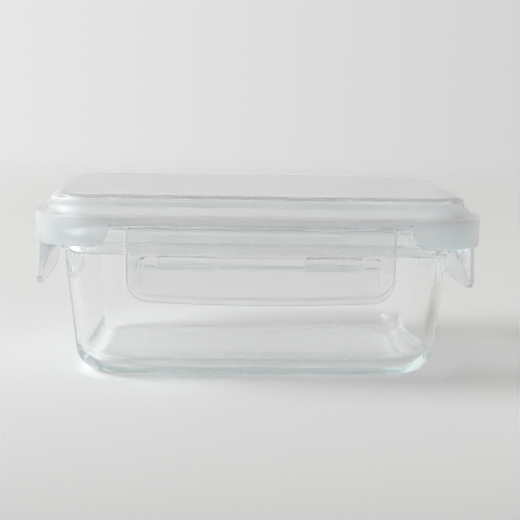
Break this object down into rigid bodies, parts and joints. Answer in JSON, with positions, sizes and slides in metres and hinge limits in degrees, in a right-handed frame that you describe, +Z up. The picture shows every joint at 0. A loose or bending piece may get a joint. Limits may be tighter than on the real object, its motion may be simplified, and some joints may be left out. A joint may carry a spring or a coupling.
{
  "type": "clip-lock glass food container",
  "caption": "Rounded rectangular glass food container with a clear plastic lid that locks under the rim with hinged snap latches and seals on a silicone ring.",
  "frame": {"origin": "centre of the flat base, on the surface it stands on", "axes": "+X along the length, +Y to the back, +Z up"},
  "size_m": [0.1918, 0.1418, 0.0795],
  "materials": {
    "glass": "clear pressed glass, polished, faint green edge",
    "lid_plastic": "clear moulded plastic, slightly milky",
    "latch_plastic": "clear moulded plastic, satin",
    "silicone": "translucent silicone, matt"
  },
  "bodies": {
    "bowl": {"glass_bowl": "glass"},
    "lid": {"lid_shell": "lid_plastic", "seal_gasket": "silicone"},
    "web_front": {"hinge_web_front": "latch_plastic"},
    "latch_front": {"latch_front": "latch_plastic"},
    "web_back": {"hinge_web_back": "latch_plastic"},
    "latch_back": {"latch_back": "latch_plastic"},
    "web_left": {"hinge_web_left": "latch_plastic"},
    "latch_left": {"latch_left": "latch_plastic"},
    "web_right": {"hinge_web_right": "latch_plastic"},
    "latch_right": {"latch_right": "latch_plastic"}
  },
  "joints": [
    {"name": "lid_lift", "type": "slide", "parent": "bowl", "child": "lid", "axis": [0, 0, 1], "range_m": [0, 0.025]},
    {"name": "web_front", "type": "hinge", "parent": "lid", "child": "web_front", "pos_m": [0, -0.0697, 0.06765], "axis": [-1, 0, 0], "range_deg": [0, 80.5]},
    {"name": "web_back", "type": "hinge", "parent": "lid", "child": "web_back", "pos_m": [0, 0.0697, 0.06765], "axis": [1, 0, 0], "range_deg": [0, 80.5]},
    {"name": "web_left", "type": "hinge", "parent": "lid", "child": "web_left", "pos_m": [-0.0947, 0, 0.06765], "axis": [0, 1, 0], "range_deg": [0, 80.5]},
    {"name": "web_right", "type": "hinge", "parent": "lid", "child": "web_right", "pos_m": [0.0947, 0, 0.06765], "axis": [0, -1, 0], "range_deg": [0, 80.5]},
    {"name": "latch_front", "type": "hinge", "parent": "web_front", "child": "latch_front", "pos_m": [0, -0.0697, 0.0668], "axis": [-1, 0, 0], "range_deg": [0, 90]},
    {"name": "latch_back", "type": "hinge", "parent": "web_back", "child": "latch_back", "pos_m": [0, 0.0697, 0.0668], "axis": [1, 0, 0], "range_deg": [0, 90]},
    {"name": "latch_left", "type": "hinge", "parent": "web_left", "child": "latch_left", "pos_m": [-0.0947, 0, 0.0668], "axis": [0, 1, 0], "range_deg": [0, 90]},
    {"name": "latch_right", "type": "hinge", "parent": "web_right", "child": "latch_right", "pos_m": [0.0947, 0, 0.0668], "axis": [0, -1, 0], "range_deg": [0, 90]}
  ],
  "couplings": [
    {"joint": "web_front", "follows": "lid_lift", "rad_per_m": 55.851},
    {"joint": "web_back", "follows": "lid_lift", "rad_per_m": 55.851},
    {"joint": "web_left", "follows": "lid_lift", "rad_per_m": 55.851},
    {"joint": "web_right", "follows": "lid_lift", "rad_per_m": 55.851}
  ]
}
